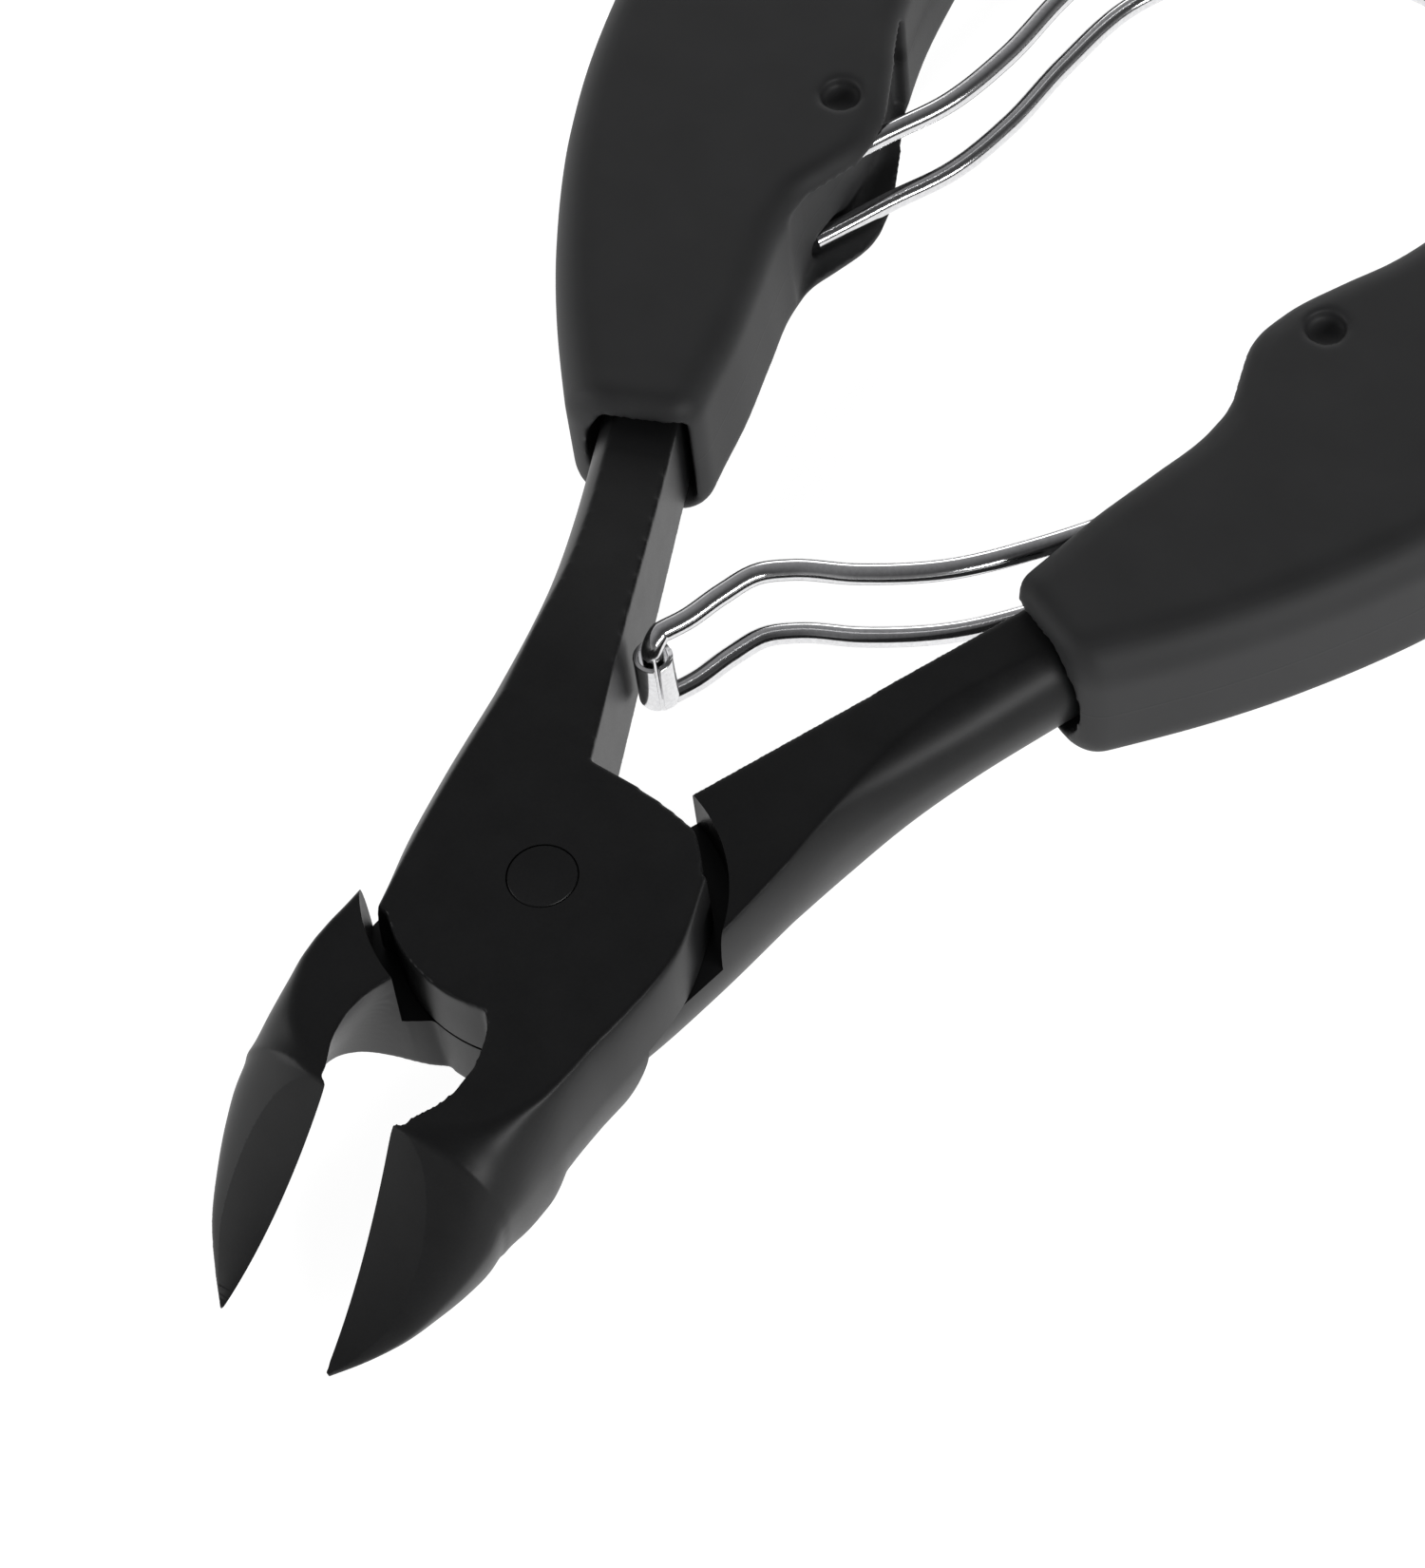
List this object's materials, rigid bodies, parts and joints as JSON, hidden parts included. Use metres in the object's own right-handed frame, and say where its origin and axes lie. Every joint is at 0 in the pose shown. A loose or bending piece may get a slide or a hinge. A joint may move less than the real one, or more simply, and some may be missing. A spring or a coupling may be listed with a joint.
{
  "type": "cuticle nipper",
  "caption": "Lap-jointed nipper with a flush rivet, ground cutting jaws, moulded soft grips and a bent double-wire opening spring that bears on one shank through a roller.",
  "frame": {"origin": "on the pivot's axis, at the joint's flat back", "axes": "+Z is the front, along the pivot; +Y runs from the joint to the handles, midway between them; +X is to the right"},
  "size_m": [0.096, 0.1599, 0.0146],
  "materials": {
    "black_steel": "satin black coat over ground forged steel",
    "soft_grip": "matte soft-touch moulding",
    "bright_wire": "bright polished spring wire"
  },
  "bodies": {
    "left_half": {"left_lever": "black_steel", "left_grip": "soft_grip", "pivot_rivet": "black_steel", "spring_bow_front": "bright_wire", "spring_bow_back": "bright_wire"},
    "right_half": {"right_lever": "black_steel", "right_grip": "soft_grip"},
    "spring_foot": {"spring_arm": "bright_wire"},
    "roller": {"spring_roller": "bright_wire"}
  },
  "joints": [
    {"name": "main_pivot", "type": "hinge", "parent": "left_half", "child": "right_half", "pos_m": [0, 0, 0.0063], "axis": [0, 0, 1], "range_deg": [0, 14.5], "stiffness_Nm_per_rad": 5, "springref_deg": -5.73, "deforming": ["spring_bow_front", "spring_bow_back"]},
    {"name": "spring_swing", "type": "hinge", "parent": "right_half", "child": "spring_foot", "pos_m": [0.0188, 0.0507, 0.0063], "axis": [0, 0, 1], "range_deg": [-0.5, 12.8]},
    {"name": "roller_spin", "type": "hinge", "parent": "spring_foot", "child": "roller", "pos_m": [-0.00575, 0.02057, 0.0063], "axis": [0, 0, 1], "continuous": true}
  ],
  "couplings": [
    {"joint": "spring_swing", "follows": "main_pivot", "ratio": 0.85}
  ]
}
